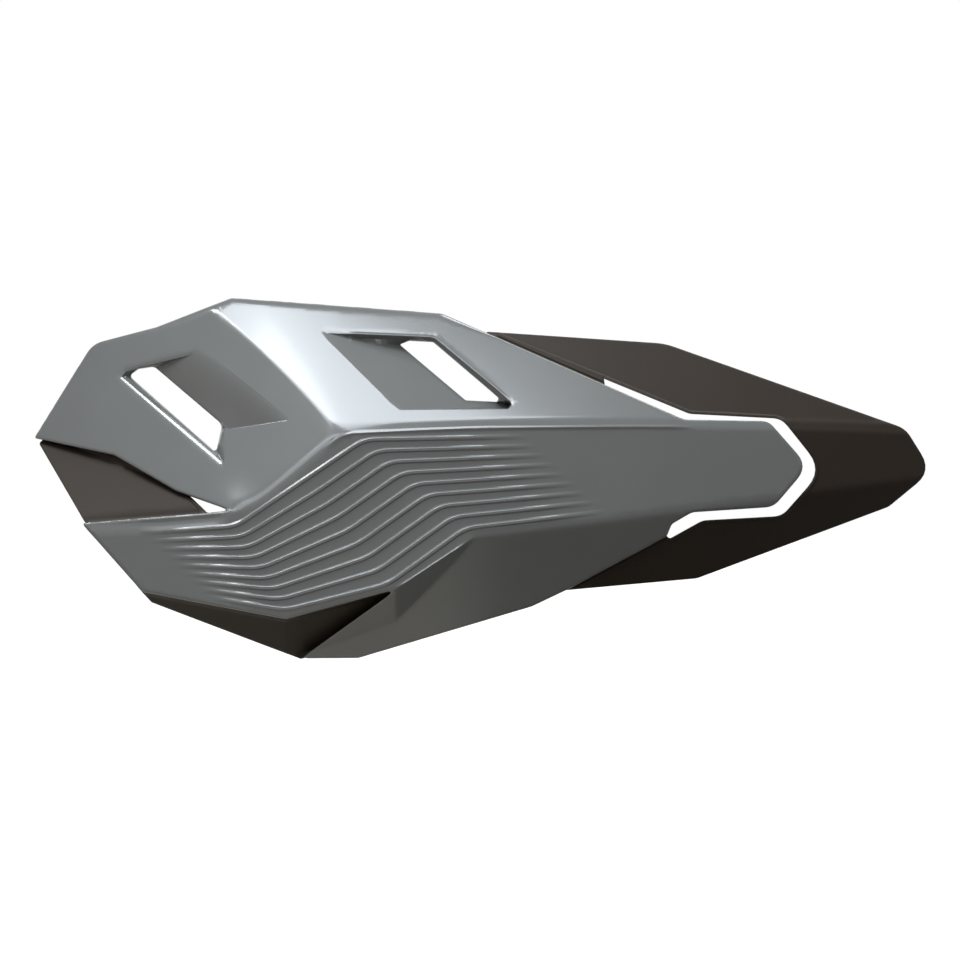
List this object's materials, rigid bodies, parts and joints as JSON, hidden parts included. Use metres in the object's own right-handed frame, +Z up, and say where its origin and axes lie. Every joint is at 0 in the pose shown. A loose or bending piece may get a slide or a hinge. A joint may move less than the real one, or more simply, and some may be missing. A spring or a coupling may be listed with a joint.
{
  "type": "motorcycle hand guard",
  "caption": "Left motorcycle hand guard: a faceted grey outer shield with vents and raised ribs on a black inner frame.",
  "frame": {"origin": "centre of the pair of threaded mounting inserts, on their outer face", "axes": "+X along the guard towards the spear tip, +Y from the guard back towards the rider's hand, +Z up"},
  "size_m": [0.2688, 0.0745, 0.1086],
  "materials": {
    "grey_shell": "satin mid grey, moulded",
    "black_frame": "satin brownish black, fine moulded grain",
    "zinc_steel": "zinc plated",
    "brass": "turned"
  },
  "bodies": {
    "root": {"outer_shield": "grey_shell", "inner_frame": "black_frame", "shield_screws": "zinc_steel", "screw_washers": "zinc_steel", "mount_inserts": "brass"}
  },
  "joints": []
}
